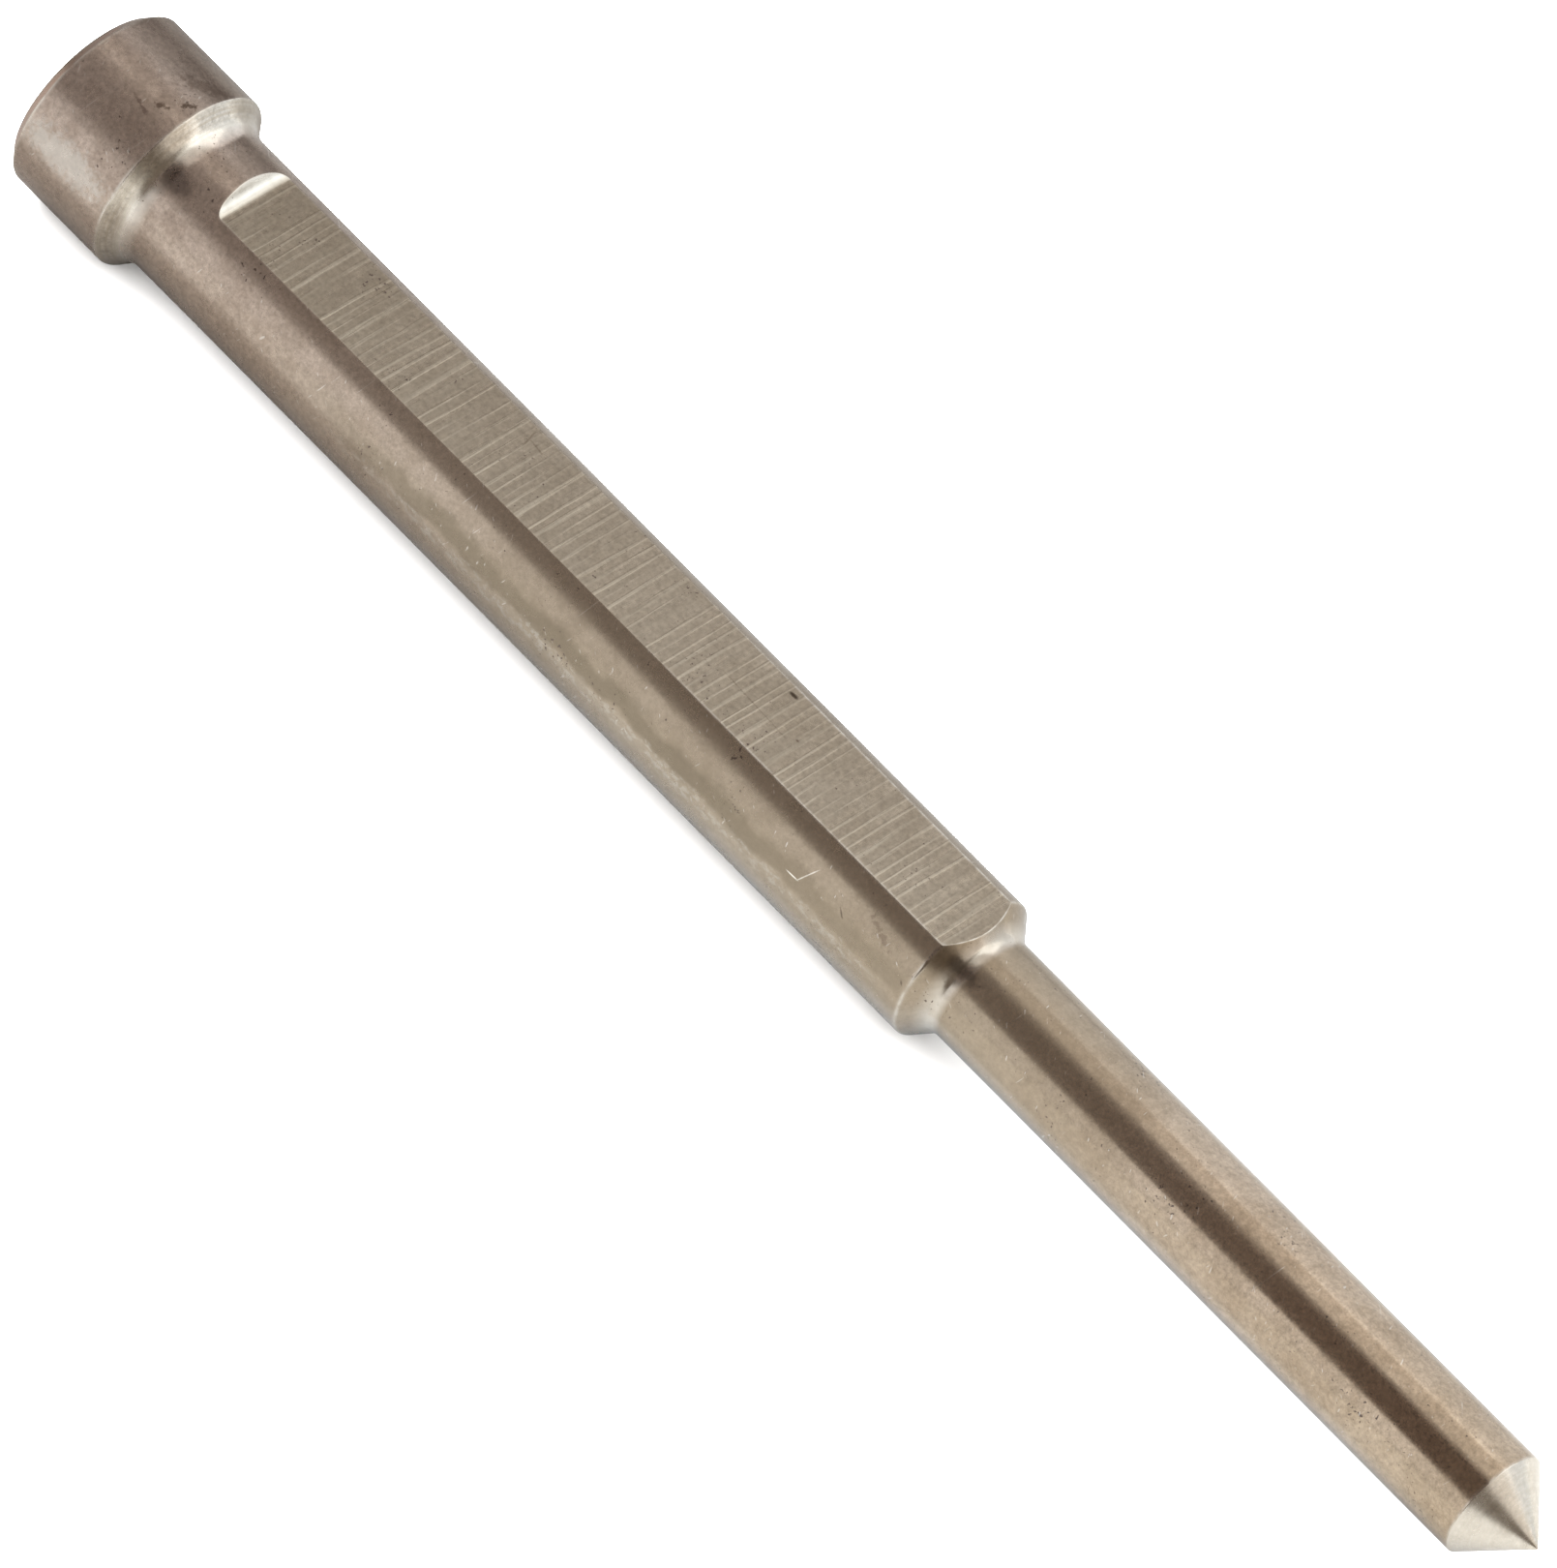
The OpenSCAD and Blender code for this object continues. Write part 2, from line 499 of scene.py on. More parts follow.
# tool lines across the pin's length: round it on turned and ground faces, straight over the flat
def makeToolLines():
    group, given, made = newGroup(
        "toolLines",
        [
            ("Spacing", "Float", 0.3),  # mm
            ("Reach", "Float", 4.0),  # mm
            ("Sharpness", "Float", 0.5),
            ("Radial", "Float", 0.0),
        ],
        [("Value", "Float"), ("Height", "Float"), ("Ridge", "Float")],
    )
    place = placeOn(group)
    parts = partsOf(group, place)
    wobble = noise(group, place, 500, 1.0, 0.5)
    x = plus(group, parts["X"], times(group, minus(group, wobble, 0.5), 0.00008))
    flatPlace = addNode(group, "CombineXYZ", {"Y": parts["Y"], "Z": parts["Z"]}).outputs[0]
    radius = addNode(group, "VectorMath", {0: flatPlace}, operation="LENGTH").outputs["Value"]
    x = minus(group, x, times(group, radius, given["Radial"]))  # rings on faces and cones
    across = addMath(group, "DIVIDE", x, times(group, given["Spacing"], mm))
    along = addMath(group, "DIVIDE", 1.0, times(group, given["Reach"], mm))
    place = addNode(
        group,
        "CombineXYZ",
        {"X": across, "Y": times(group, parts["Y"], along), "Z": times(group, parts["Z"], along)},
    ).outputs[0]
    lines = plainNoise(group, place, 1.0, 4.0, 0.65)
    half = times(group, minus(group, 1.0, given["Sharpness"]), 0.3)
    value = addRange(group, lines, minus(group, 0.5, half), plus(group, 0.5, half))
    group.links.new(value, made["Value"])
    group.links.new(lines, made["Height"])
    # feed marks, one every turn of the tool
    drift = times(group, noise(group, place, 0.35, 2.0, 0.6), 16.0)
    wave = addMath(group, "SINE", plus(group, times(group, across, 2 * math.pi), drift))
    ridge = times(group, addRange(group, wave, 0.35, 0.98), addRange(group, lines, 0.38, 0.6))
    group.links.new(ridge, made["Ridge"])
    return group


# metal rubbed bright along edges, broken up a little
def makeRubbedEdge():
    group, given, made = newGroup("rubbedEdge", [("Amount", "Float", 1.0)], [("Mask", "Float")])
    edge = addNode(group, "Attribute", attribute_name="rubbedEdge").outputs["Fac"]
    place = placeOn(group)
    broken = addRange(group, noise(group, place, 2200, 2.0, 0.6), 0.3, 0.6, 0.35, 1.0)
    mask = times(group, times(group, edge, broken), given["Amount"], clamp=True)
    group.links.new(mask, made["Mask"])
    return group


# metal cut brighter than the skin round it, partly a painted highlight
def makeFreshCutAndHighlight():
    group, given, made = newGroup("freshCutAndHighlight", [("Amount", "Float", 1.0)], [("Mask", "Float")])
    fresh = addNode(group, "Attribute", attribute_name="freshCutAndHighlight").outputs["Fac"]
    place = placeOn(group)
    patchy = addRange(group, noise(group, place, 1400, 3.0, 0.6), 0.3, 0.6, 0.75, 1.0)
    mask = times(group, times(group, fresh, patchy), given["Amount"], clamp=True)
    group.links.new(mask, made["Mask"])
    return group


# one ragged mark at a given place: a stain, a pit or a scratch, and also a patch of painted
# reflection
def makePlacedMark():
    group, given, made = newGroup(
        "placedMark",
        [
            ("Place", "Vector", (0, 0, 0)),
            ("Turn", "Vector", (0, 0, 0)),
            ("Size", "Vector", (1, 1, 1)),
            ("Ragged", "Float", 0.5),
        ],
        [("Mask", "Float")],
    )
    place = placeOn(group)
    inputs = {"Vector": place, "Location": given["Place"], "Rotation": given["Turn"]}
    inputs["Scale"] = given["Size"]
    local = addNode(group, "Mapping", inputs, vector_type="TEXTURE").outputs[0]
    reach = addNode(group, "VectorMath", {0: local}, operation="LENGTH").outputs["Value"]
    bits = minus(group, noise(group, place, 3800, 3.0, 0.65), 0.5)
    reach = plus(group, reach, times(group, bits, times(group, given["Ragged"], 5.0)))
    group.links.new(addRange(group, reach, 0.35, 1.1, 1.0, 0.0), made["Mask"])
    return group


# short wandering marks from handling and storage
def makeHandling():
    group, given, made = newGroup(
        "handlingMarks",
        [("Amount", "Float", 0.5)],
        [("Mask", "Float"), ("Height", "Float")],
    )
    place = placeOn(group)
    total = None
    for i, turn in enumerate((0.5, -0.8, 1.25)):
        inputs = {"Vector": place, "Rotation": (turn, turn * 0.6, turn * 1.7)}
        turned = addNode(group, "Mapping", inputs).outputs[0]
        shift = (i * 3.1, i * 1.7, 0)
        line = noise(group, turned, 1.0, 1.0, 0.5, stretch=(160, 9000, 2600), shift=shift)
        line = addRange(group, line, 0.74, 0.8)
        total = line if total is None else addMath(group, "MAXIMUM", total, line)
    mask = times(group, total, given["Amount"])
    group.links.new(mask, made["Mask"])
    group.links.new(times(group, mask, -1.0), made["Height"])
    return group


tarnishClouds = makeTarnish()
specksAndPits = makeSpecks()
toolLines = makeToolLines()
rubbedEdge = makeRubbedEdge()
freshCutAndHighlight = makeFreshCutAndHighlight()
placedMark = makePlacedMark()
handlingMarks = makeHandling()
print("shader groups built")

markTones = {
    "darkStain": (0.1, 0.07, 0.05, 1),
    "darkPit": (0.1, 0.075, 0.055, 1),
    "blackPit": (0.05, 0.036, 0.024, 1),
    "nickBrown": (0.12, 0.085, 0.06, 1),
    "paleStain": (0.15, 0.115, 0.08, 1),
    "faintDark": (0.16, 0.125, 0.09, 1),
    "rimBrown": (0.17, 0.12, 0.09, 1),
    "webBrown": (0.14, 0.1, 0.08, 1),
    "shoulderBrown": (0.17, 0.125, 0.09, 1),
    # painted dark reflection on the head's fillet
    "filletDarkReflection": (0.1, 0.078, 0.066, 1),
    # painted dark reflection at the shoulder
    "shoulderDarkReflection": (0.1, 0.078, 0.06, 1),
    "brightMetal": (0.8, 0.75, 0.66, 1),
    # painted reflection of the pale floor
    "paleFloorReflection": (0.47, 0.435, 0.39, 1),
}

groundSteel = {
    "clean": (0.4, 0.324, 0.268, 1),
    "stained": (0.278, 0.214, 0.17, 1),
    "cleanAtNose": (0.385, 0.302, 0.215, 1),
    "stainedAtNose": (0.285, 0.212, 0.14, 1),
    "yellowed": (0.262, 0.213, 0.148, 1),
    "speckColour": (0.11, 0.082, 0.066, 1),
    "scratchColour": (0.55, 0.5, 0.44, 1),
    "headEnd": (0.46, 0.31, 0.24, 1),
    # pale track colour, partly a painted reflection of the floor
    "rubbedAndReflectedColour": (0.44, 0.4, 0.34, 1),
    # painted shade for the band above the track
    "shadeColour": (0.16, 0.127, 0.088, 1),
    "marks": {  # from, to, width in mm, raggedness, tone, strength
        # painted reflection of the pale floor on the head's lower side
        "headPaintedReflection": ((0.9, -3.75, 1.31), (3.9, -3.75, 1.31), 1.7, 0.3, "paleFloorReflection", 0.55),
        # painted reflection of the dark hood on the head's fillet
        "filletPaintedReflection": ((5.75, -1.83, 2.6), (6.35, -1.81, 2.58), 1.15, 0.15, "filletDarkReflection", 0.65),
        # painted reflection of the dark hood where the dark stripe crosses the shoulder
        "shoulderPaintedReflection": ((47.3, -1.47, 2.08), (48.3, -1.29, 1.84), 0.72, 0.2, "shoulderDarkReflection", 0.7),
        "headStain": ((3.7, -0.95, 3.85), (3.92, -0.83, 3.88), 0.34, 0.7, "darkStain", 0.9),
        "rimStain": ((4.3, -0.2, 3.96), (4.5, -0.02, 3.97), 0.28, 0.8, "darkStain", 0.9),
        "rimShade": ((3.6, 0.7, 3.91), (4.5, 1.5, 3.68), 0.9, 0.6, "rimBrown", 0.6),
        "headWeb": ((2.9, -1.3, 3.75), (3.9, -1.5, 3.68), 0.16, 1.0, "webBrown", 0.7),
        "hookScratch": ((41.6, -2.6, 1.78), (41.15, -2.98, 1.02), 0.08, 0.12, "brightMetal", 0.9),
        "hookEnd": ((41.15, -2.99, 1.0), (40.6, -2.99, 0.98), 0.07, 0.15, "brightMetal", 0.85),
        "rimPit": ((46.5, -1.62, 2.7), (46.65, -1.55, 2.68), 0.12, 0.4, "darkPit", 0.8),
        "lowRimPit": ((46.55, -2.95, 1.1), (46.65, -2.98, 1.0), 0.13, 0.4, "darkPit", 0.8),
        "shoulderStain": ((44.6, -2.5, 1.9), (45.4, -2.7, 1.6), 0.35, 1.0, "shoulderBrown", 0.6),
        "darkScratch": ((43.1, -2.8, 1.43), (43.4, -2.92, 1.18), 0.1, 0.3, "darkPit", 0.85),
    },
    "grain": 1.3,
    "roughness": 0.27,
    "roughnessSpread": 0.08,
    "noseSmoother": 0.7,
    "bump": 0.08,
}

milledSteel = {
    "clean": (0.29, 0.241, 0.183, 1),
    "stained": (0.22, 0.176, 0.126, 1),
    "streak": (0.5, 0.444, 0.348, 1),
    "furrow": (0.152, 0.118, 0.086, 1),
    # bright wall colour, partly a painted highlight
    "wall": (0.72, 0.69, 0.62, 1),
    "marks": {
        "pit": ((35.62, 1.35, 2.65), (35.86, 1.35, 2.65), 0.22, 0.12, "blackPit", 1.0),
        "nick": ((37.25, 0.12, 2.65), (37.4, 0.05, 2.65), 0.1, 0.3, "nickBrown", 0.8),
        "faintScratch": ((33.8, -0.05, 2.65), (37.0, -0.2, 2.65), 0.07, 0.9, "faintDark", 0.6),
        "stainLine": ((21.8, 1.5, 2.65), (22.0, 0.7, 2.65), 0.1, 0.8, "paleStain", 0.7),
        "stainBranch": ((21.9, 1.1, 2.65), (22.8, 1.0, 2.65), 0.09, 0.8, "paleStain", 0.6),
    },
    "grain": 1.3,
    "roughness": 0.33,
    "bump": 0.22,
}

turnedSteel = {
    "clean": (0.54, 0.495, 0.43, 1),
    "stained": (0.36, 0.3, 0.225, 1),
    # brighter fresh metal, partly a painted highlight
    "fresh": (0.72, 0.675, 0.6, 1),
    "grain": 1.6,
    "roughness": 0.25,
    "bump": 0.25,
}


def newMaterial(name):
    material = bpy.data.materials.new(name)
    material.use_nodes = True
    tree = material.node_tree
    shader = tree.nodes["Principled BSDF"]
    shader.inputs["Metallic"].default_value = 1.0
    return material, tree, shader


def addBump(tree, shader, height, strength, distance):
    bump = addNode(tree, "Bump", {"Height": height, "Strength": strength, "Distance": distance})
    tree.links.new(bump.outputs[0], shader.inputs["Normal"])


# how far along the pin a point is, from 0 at the head to 1 at the point
def alongPin(tree):
    place = placeOn(tree)
    x = partsOf(tree, place)["X"]
    return addRange(tree, x, 0.0, pinLength * mm, smooth=False)


# the pale track, partly a painted reflection, and the band of painted shade above it
nearSideSheenAndShade = {  # metres on the pin: where each mask rises from and to, then falls from and to
    "trackHeight": 0.0002,
    "trackWander": 0.0009,
    "trackHalfWidth": (0.00012, 0.0004),
    "trackAlong": (0.012, 0.022, 0.044, 0.0465),
    "trackBase": 0.1,
    "trackScales": 0.4,
    "shadeWander": 0.0012,
    "shadeHeight": (0.0003, 0.0007, 0.0011, 0.0016),
    "shadeAlong": (0.012, 0.022, 0.0465, 0.0469),
    "shadeStrength": (0.036, 0.045, 0.7, 0.4),  # from, to, strength before, strength after
}


# the near side of the shank, facing -Y
def nearSide(tree, parts):
    return addRange(tree, parts["Y"], -0.001, 0.0, 1.0, 0.0)


# a pale scaly track along the shank's near side, partly rubbed where the pin slides in its bore and
# partly a painted reflection of the pale floor
def slideTrackAndSheen(tree):
    place = placeOn(tree)
    parts = partsOf(tree, place)
    height = minus(tree, parts["Z"], nearSideSheenAndShade["trackHeight"])
    height = plus(tree, height, sway(tree, place, 900, 3.0, 0.6, nearSideSheenAndShade["trackWander"]))
    off = addMath(tree, "ABSOLUTE", height)
    mask = addRange(tree, off, *nearSideSheenAndShade["trackHalfWidth"], 1.0, 0.0)
    mask = times(tree, mask, nearSide(tree, parts))
    mask = times(tree, mask, addBand(tree, parts["X"], *nearSideSheenAndShade["trackAlong"]))
    scales = noise(tree, place, 2600, 3.0, 0.7, stretch=(1.0, 1.0, 1.6), shift=(0.2, 0.6, 0.4))
    scales = times(tree, addRange(tree, scales, 0.46, 0.62), nearSideSheenAndShade["trackScales"])
    return times(tree, mask, plus(tree, nearSideSheenAndShade["trackBase"], scales))


# a band of painted shade just above that track, on the shank's near side
def trackShade(tree):
    place = placeOn(tree)
    parts = partsOf(tree, place)
    height = plus(tree, parts["Z"], sway(tree, place, 500, 3.0, 0.6, nearSideSheenAndShade["shadeWander"]))
    mask = addBand(tree, height, *nearSideSheenAndShade["shadeHeight"])
    mask = times(tree, mask, nearSide(tree, parts))
    mask = times(tree, mask, addBand(tree, parts["X"], *nearSideSheenAndShade["shadeAlong"]))
    return times(tree, mask, addRange(tree, parts["X"], *nearSideSheenAndShade["shadeStrength"]))


# lays the named marks over a colour, one after another
def addMarks(tree, colour, marks):
    for start, end, width, ragged, tone, strength in marks.values():
        a, b = Vector(start) * mm, Vector(end) * mm
        turn = (b - a).to_track_quat("X", "Z").to_euler()
        size = ((b - a).length * 0.6 + width * 0.5 * mm, width * 0.5 * mm, width * 0.5 * mm)
        where = {"place": (a + b) / 2, "turn": turn, "size": size}
        mark = useGroup(tree, placedMark, **where, ragged=ragged)["Mask"]
        colour = addMix(tree, times(tree, mark, strength), colour, markTones[tone])
    return colour


def makeGround(look):
    material, tree, shader = newMaterial("groundSteel")
    along = alongPin(tree)
    oxide = useGroup(
        tree,
        tarnishClouds,
        clean=addMix(tree, along, look["clean"], look["cleanAtNose"]),
        stained=addMix(tree, along, look["stained"], look["stainedAtNose"]),
        amount=0.9,
        grain=look["grain"],
    )
    specks = useGroup(tree, specksAndPits, size=0.15, amount=0.72)
    lines = useGroup(tree, toolLines, spacing=0.12, reach=6.0, sharpness=0.2)
    marks = useGroup(tree, handlingMarks, amount=0.6)
    edges = useGroup(tree, rubbedEdge, amount=0.8)
    fall = addRange(tree, along, 0.62, 0.82, 1.0, 0.0)
    middle = addMath(tree, "MINIMUM", addRange(tree, along, 0.1, 0.4), fall)
    colour = addMix(tree, times(tree, middle, 0.62), oxide["Color"], look["yellowed"])
    colour = addMix(tree, times(tree, lines["Value"], 0.12), colour, look["stained"])
    # painted shade above the track, then the pale track, partly a painted reflection
    colour = addMix(tree, trackShade(tree), colour, look["shadeColour"])
    colour = addMix(tree, slideTrackAndSheen(tree), colour, look["rubbedAndReflectedColour"])
    end = addRange(tree, along, 0.0042, 0.0062, 0.75, 0.0)  # only on the head's end chamfer
    end = times(tree, end, addRange(tree, along, 0.0005, 0.0025))
    colour = addMix(tree, end, colour, look["headEnd"])
    # fresh metal brightened, partly a painted highlight on the fillets
    fresh = useGroup(tree, freshCutAndHighlight, amount=1.0)["Mask"]
    colour = addMix(tree, fresh, colour, turnedSteel["fresh"])
    colour = addMix(tree, specks["Mask"], colour, look["speckColour"])
    colour = addMix(tree, marks["Mask"], colour, look["scratchColour"])
    colour = addMarks(tree, colour, look["marks"])
    colour = addMix(tree, edges["Mask"], colour, turnedSteel["clean"])
    tree.links.new(colour, shader.inputs["Base Color"])
    rough, spread = look["roughness"], look["roughnessSpread"]
    rough = addRange(tree, oxide["Mask"], 0.0, 1.0, rough - spread, rough + spread)
    rough = times(tree, rough, addRange(tree, along, 0.5, 0.7, 1.0, look["noseSmoother"]))
    tree.links.new(rough, shader.inputs["Roughness"])
    height = plus(tree, times(tree, lines["Height"], 0.5), oxide["Height"])
    height = plus(tree, height, specks["Height"])
    addBump(tree, shader, height, look["bump"], 0.00001)
    return material


def makeMilled(look):
    material, tree, shader = newMaterial("milledSteel")
    tones = {"clean": look["clean"], "stained": look["stained"]}
    oxide = useGroup(tree, tarnishClouds, **tones, amount=0.7, grain=look["grain"])
    coarse = useGroup(tree, toolLines, spacing=0.45, reach=12.0, sharpness=0.3)
    fine = useGroup(tree, toolLines, spacing=0.19, reach=3.5, sharpness=0.45)
    specks = useGroup(tree, specksAndPits, size=0.13, amount=0.68)
    edges = useGroup(tree, rubbedEdge, amount=0.8)
    furrows = minus(tree, 1.0, coarse["Value"])
    colour = addMix(tree, times(tree, furrows, 0.28), oxide["Color"], look["furrow"])
    place = placeOn(tree)
    across = partsOf(tree, place)["Y"]
    streaks = plus(tree, times(tree, fine["Value"], 0.35), coarse["Ridge"], clamp=True)
    streaks = times(tree, streaks, addRange(tree, across, -0.0017, 0.0017, 0.42, 0.17))
    colour = addMix(tree, streaks, colour, look["streak"])
    # brighter on the flat's wall, partly a painted highlight
    fresh = useGroup(tree, freshCutAndHighlight, amount=1.0)["Mask"]
    colour = addMix(tree, fresh, colour, look["wall"])
    colour = addMix(tree, specks["Mask"], colour, groundSteel["speckColour"])
    colour = addMarks(tree, colour, look["marks"])
    colour = addMix(tree, edges["Mask"], colour, turnedSteel["clean"])
    tree.links.new(colour, shader.inputs["Base Color"])
    rough = look["roughness"]
    rough = addRange(tree, fine["Value"], 0.0, 1.0, rough - 0.06, rough + 0.06)
    tree.links.new(rough, shader.inputs["Roughness"])
    height = plus(tree, coarse["Ridge"], times(tree, fine["Height"], 0.6))
    addBump(tree, shader, height, look["bump"], 0.00002)
    return material


def makeTurned(look):
    material, tree, shader = newMaterial("turnedSteel")
    tones = {"clean": look["clean"], "stained": look["stained"]}
    oxide = useGroup(tree, tarnishClouds, **tones, amount=0.6, grain=look["grain"])
    lines = useGroup(tree, toolLines, spacing=0.12, reach=5.0, sharpness=0.45, radial=0.8)
    edges = useGroup(tree, rubbedEdge, amount=0.6)
    colour = addMix(tree, times(tree, lines["Value"], 0.55), oxide["Color"], look["stained"])
    colour = addMix(tree, useGroup(tree, freshCutAndHighlight, amount=1.0)["Mask"], colour, look["fresh"])
    colour = addMix(tree, edges["Mask"], colour, look["clean"])
    tree.links.new(colour, shader.inputs["Base Color"])
    rough = look["roughness"]
    rough = addRange(tree, oxide["Mask"], 0.0, 1.0, rough - 0.05, rough + 0.08)
    tree.links.new(rough, shader.inputs["Roughness"])
    addBump(tree, shader, lines["Height"], look["bump"], 0.00001)
    return material


for material in (makeGround(groundSteel), makeMilled(milledSteel), makeTurned(turnedSteel)):
    pin.data.materials.append(material)
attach(pin, "root")
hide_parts("pilot_pin")
print("materials built:", ", ".join(m.name for m in pin.data.materials))

studio = {
    "floorReach": 3.0,
    "floorColour": (0.9, 0.9, 0.895, 1),
    "floorClouds": (0.8, 0.8, 0.8, 1),
    "floorMirrored": (0.27, 0.278, 0.282, 1),  # the floor as it shows in the metal
    # painted shadow of the pin on the floor near the head, and painted light near the nose, seen
    # only in the metal
    "floorShadowNearHead": (0.148, 0.141, 0.134, 1),
    "floorNearNose": (0.35, 0.375, 0.4, 1),
    "floorAhead": (0.26, 0.264, 0.262, 1),
    # painted dark floor behind the pin, seen only in the metal
    "floorShadeBehind": (0.04, 0.035, 0.031, 1),
    "nearReach": ((0.0, 0.04, 0.012, 0.0045), (0.002, 0.008, 0.0088, 0.0115)),
    "nearEdge": (0.85, 1.25),  # in parts of that reach
    "headToNose": (0.01, 0.045),  # where the near floor changes tone, metres along the pin
    "aheadFrom": (0.067, 0.074),
    "behindSlant": 0.36,
    "behindEdge": (0.0, 0.004),
    "behindAtHead": (0.003, 0.0075, 0.8, 0.55),
    "behindAtNose": (0.042, 0.056, 1.0, 0.5),
    "surroundBehind": (0.5, 0.46, 0.45, 1),  # seen between the softboxes, past the head
    "surroundAhead": (0.22, 0.18, 0.145, 1),  # and past the point
    "surroundFade": (0.5, 0.85, 1.0, 0.68),  # dimmer on the pin's far side
    "backdrop": 0.92,
    "skyPower": 8.5,
    "skySize": 1.8,
    "skyHeight": 0.9,
    "softboxes": {  # place of the middle, width, height, brightness, tint
        "frontSoftbox": ((-0.1, -0.42, 0.11), 0.8, 0.22, 1.0, (0.93, 1.0, 1.06)),
        "topSoftbox": ((0.172, 0.125, 0.443), 0.61, 0.72, 0.76, (0.98, 1.0, 0.98)),
        "topBackSoftbox": ((-0.36, 0.17, 0.42), 0.42, 0.6, 0.12, (1.0, 0.94, 0.88)),
        "sideSoftbox": ((0.11, 0.203, 0.145), 0.446, 0.36, 1.15, (0.92, 1.0, 1.08)),
        "endSoftbox": ((0.46, 0.11, 0.14), 0.25, 0.26, 0.95, (1.0, 0.98, 0.95)),
    },
    "hoodPlace": (0.095, -0.165, 0.235),  # dark hood round the camera
    "hoodWidth": 0.27,
    "hoodHeight": 0.24,
    "hoodColour": (0.05, 0.036, 0.03, 1),
}

cameraView = {  # millimetres and degrees
    "target": 37.2,  # along the pin's axis
    "distance": 793.8,
    "azimuth": 32.06,
    "elevation": 50.54,
    "roll": 19.35,
    "lift": 0.04,
    "lens": 516,
}


def makeCard(name, halfWidth, halfHeight, z):
    mesh = bmesh.new()
    corners = ((-1, -1), (1, -1), (1, 1), (-1, 1))
    mesh.faces.new([mesh.verts.new((halfWidth * a, halfHeight * b, z)) for a, b in corners])
    data = bpy.data.meshes.new(name)
    mesh.to_mesh(data)
    mesh.free()
    card = bpy.data.objects.new(name, data)
    bpy.context.scene.collection.objects.link(card)
    return card


# the floor's tone where the metal mirrors it, painted: dark near and behind the pin as a painted
# shadow, paler farther off, and painted lighter near the nose
def mirroredFloor(tree, parts):
    x, y = parts["X"], parts["Y"]
    long, short = studio["nearReach"]
    reach = addRange(tree, x, *long, smooth=False)
    reach = addMath(tree, "MINIMUM", reach, addRange(tree, x, *short))
    away = addMath(tree, "DIVIDE", addMath(tree, "ABSOLUTE", y), reach)
    along = addRange(tree, x, *studio["headToNose"])
    near = addMix(tree, along, studio["floorShadowNearHead"], studio["floorNearNose"])
    tone = addMix(tree, addRange(tree, away, *studio["nearEdge"]), near, studio["floorMirrored"])
    source = plus(tree, x, times(tree, y, studio["behindSlant"]))
    behind = addRange(tree, source, *studio["behindAtHead"])
    behind = times(tree, behind, addRange(tree, source, *studio["behindAtNose"]))
    behind = times(tree, addRange(tree, y, *studio["behindEdge"]), behind)
    tone = addMix(tree, behind, tone, studio["floorShadeBehind"])
    return addMix(tree, addRange(tree, x, *studio["aheadFrom"]), tone, studio["floorAhead"])


def makeFloor():
    floor = makeCard("studioFloor", studio["floorReach"], studio["floorReach"], low.z)
    material, tree, shader = newMaterial("paleFloor")
    shader.inputs["Metallic"].default_value = 0.0
    shader.inputs["Roughness"].default_value = 0.9
    shader.inputs["Specular IOR Level"].default_value = 0.2
    place = placeOn(tree)
    cloud = times(tree, noise(tree, place, 12, 2.0), 0.1)
    shade = addMix(tree, cloud, studio["floorColour"], studio["floorClouds"])
    glossy = addNode(tree, "LightPath").outputs["Is Glossy Ray"]
    # reflections see the floor with its painted shade; the camera sees it pale
    shade = addMix(tree, glossy, shade, mirroredFloor(tree, partsOf(tree, place)))
    tree.links.new(shade, shader.inputs["Base Color"])
    floor.data.materials.append(material)


# a dark card, seen only in the metal's reflections
def makeHood():
    hood = makeCard("cameraHood", studio["hoodWidth"] / 2, studio["hoodHeight"] / 2, 0)
    hood.location = studio["hoodPlace"]
    across = Vector((0, hood.location.y, hood.location.z)).to_track_quat("Z", "Y")
    hood.rotation_euler = across.to_euler()
    hood.visible_camera = hood.visible_shadow = hood.visible_diffuse = False
    material, tree, shader = newMaterial("darkCloth")
    shader.inputs["Metallic"].default_value = 0.0
    shader.inputs["Base Color"].default_value = studio["hoodColour"]
    shader.inputs["Roughness"].default_value = 1.0
    hood.data.materials.append(material)


def direction(bearing, elevation):
    b, e = math.radians(bearing), math.radians(elevation)
    return Vector((math.cos(b) * math.cos(e), math.sin(b) * math.cos(e), math.sin(e)))


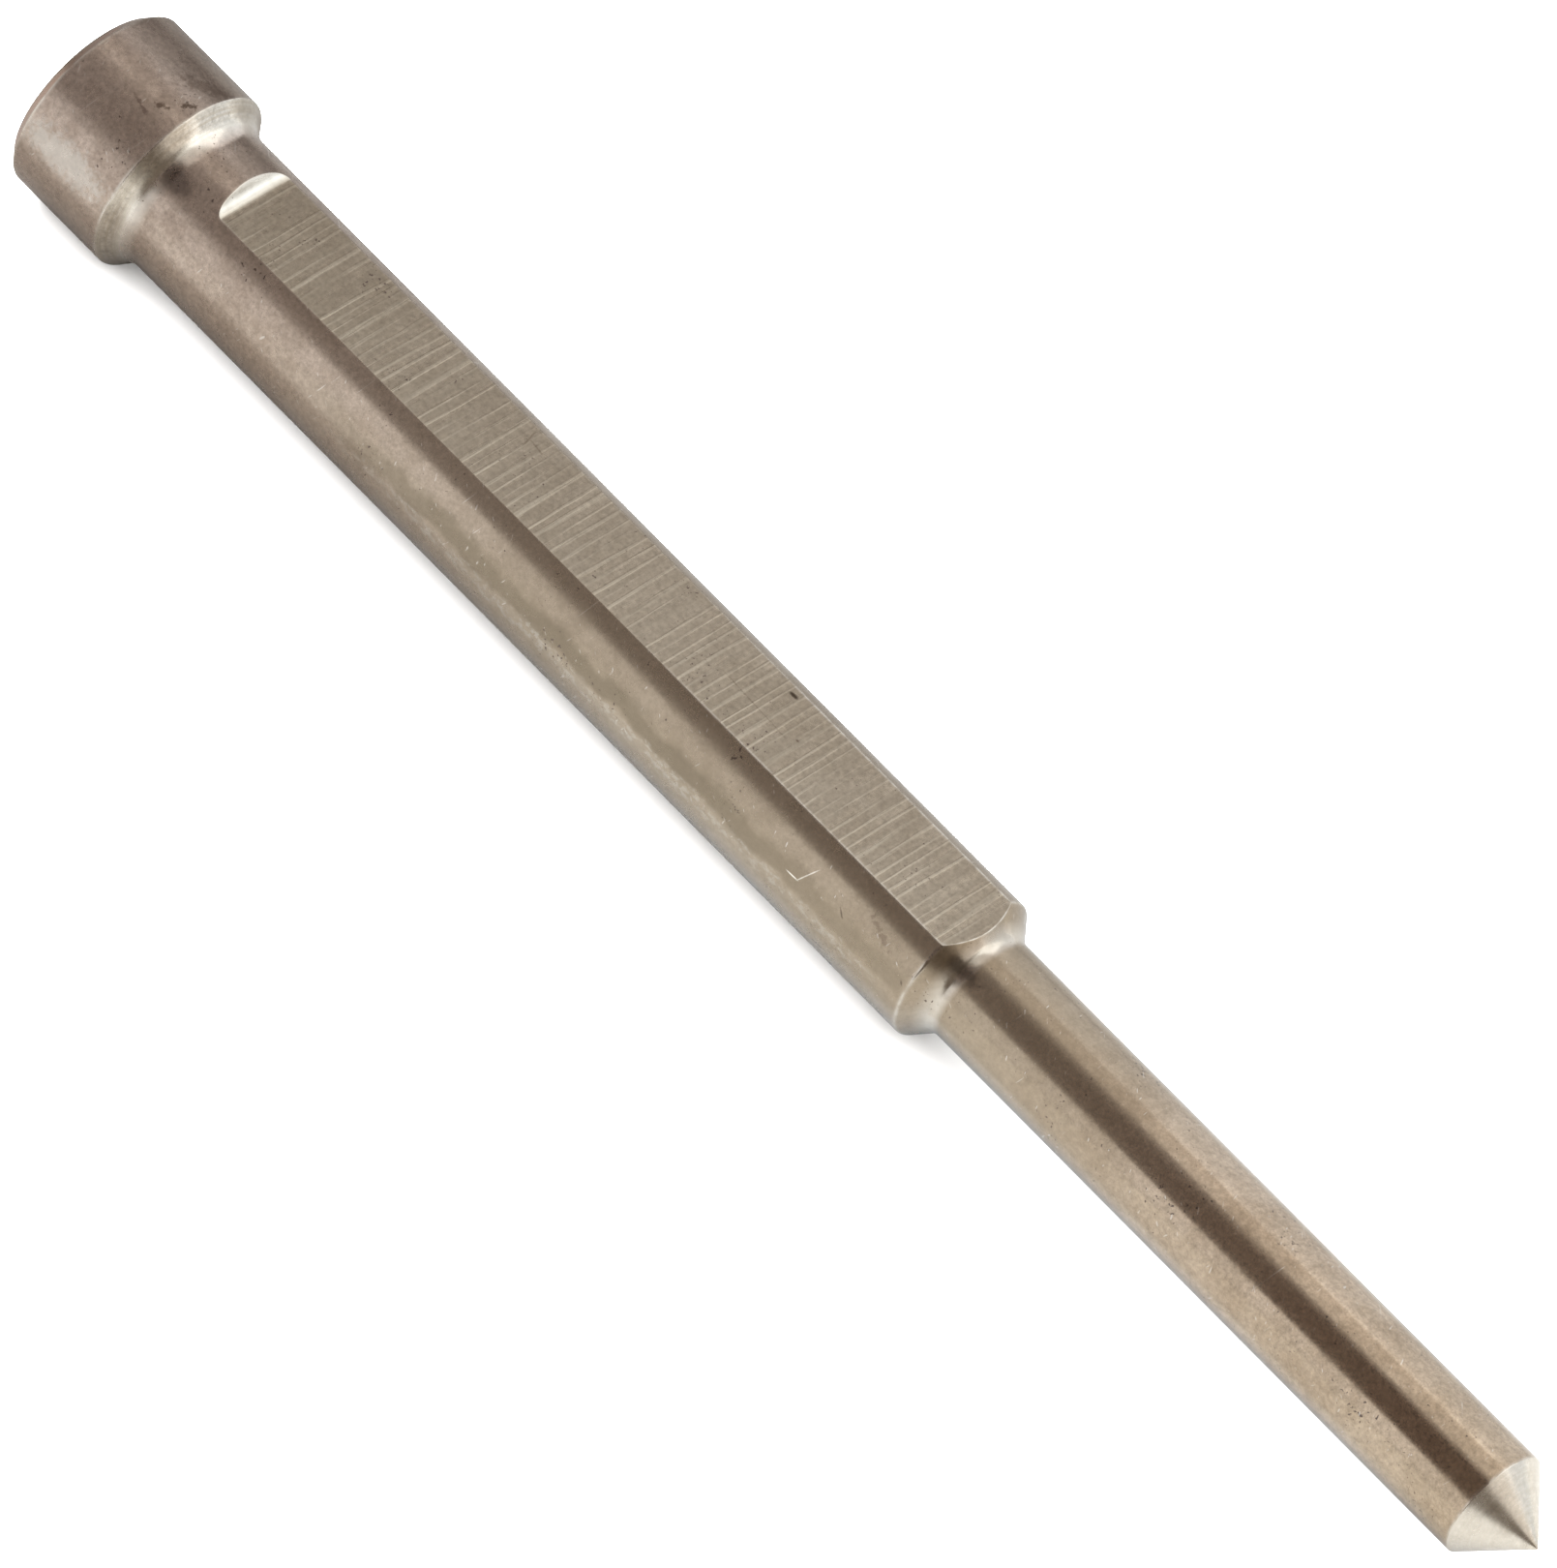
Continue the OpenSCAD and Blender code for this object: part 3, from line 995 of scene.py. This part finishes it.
def addSoftbox(name, place, aim, width, height, brightness, tint=(1, 1, 1)):
    light = bpy.data.lights.new(name, "AREA")
    light.shape = "RECTANGLE"
    light.size, light.size_y = width, height
    light.energy = brightness * math.pi * width * height
    light.color = tint
    lamp = bpy.data.objects.new(name, light)
    lamp.location = place
    lamp.rotation_euler = (aim - place).to_track_quat("-Z", "Y").to_euler()
    lamp.visible_camera = False
    bpy.context.scene.collection.objects.link(lamp)
    return lamp


def makeStudio():
    aim = Vector((pinLength * mm / 2, 0, 0))
    for name, (place, width, height, brightness, tint) in studio["softboxes"].items():
        addSoftbox(name, Vector(place), aim, width, height, brightness, tint)
    over = aim + Vector((0, 0, studio["skyHeight"]))
    sky = addSoftbox("skyFill", over, aim, studio["skySize"], studio["skySize"], studio["skyPower"])
    sky.visible_glossy = False
    world = bpy.data.worlds.new("studioAir")
    bpy.context.scene.world = world
    world.use_nodes = True
    tree = world.node_tree
    background = tree.nodes["Background"]
    seen = addNode(tree, "LightPath").outputs["Is Camera Ray"]
    way = addNode(tree, "SeparateXYZ", {0: addNode(tree, "TexCoord").outputs["Generated"]}).outputs
    ahead = addRange(tree, way["X"], -0.3, 0.5)
    dim = addMix(tree, ahead, studio["surroundBehind"], studio["surroundAhead"])
    dim = addScale(tree, dim, addRange(tree, way["Y"], *studio["surroundFade"]))
    pale = [studio["backdrop"]] * 3 + [1]
    tree.links.new(addMix(tree, seen, dim, pale), background.inputs["Color"])


def makeCamera():
    back = direction(cameraView["azimuth"] - 90, cameraView["elevation"])
    data = bpy.data.cameras.new("mainCamera")
    data.lens = cameraView["lens"]
    data.sensor_width = 36
    data.clip_start, data.clip_end = 0.01, 20
    camera = bpy.data.objects.new("mainCamera", data)
    target = Vector((cameraView["target"] * mm, 0, 0))
    camera.location = target + back * (cameraView["distance"] * mm)
    camera.location += Vector((0, 0.82, 0.57)) * (cameraView["lift"] * mm)
    upright = (-back).to_track_quat("-Z", "Y")
    camera.rotation_mode = "QUATERNION"
    camera.rotation_quaternion = upright @ Quaternion((0, 0, 1), math.radians(cameraView["roll"]))
    bpy.context.scene.collection.objects.link(camera)
    bpy.context.scene.camera = camera


makeFloor()
makeHood()
makeStudio()
makeCamera()
bpy.context.scene.view_settings.view_transform = "Standard"
print("studio and camera ready")
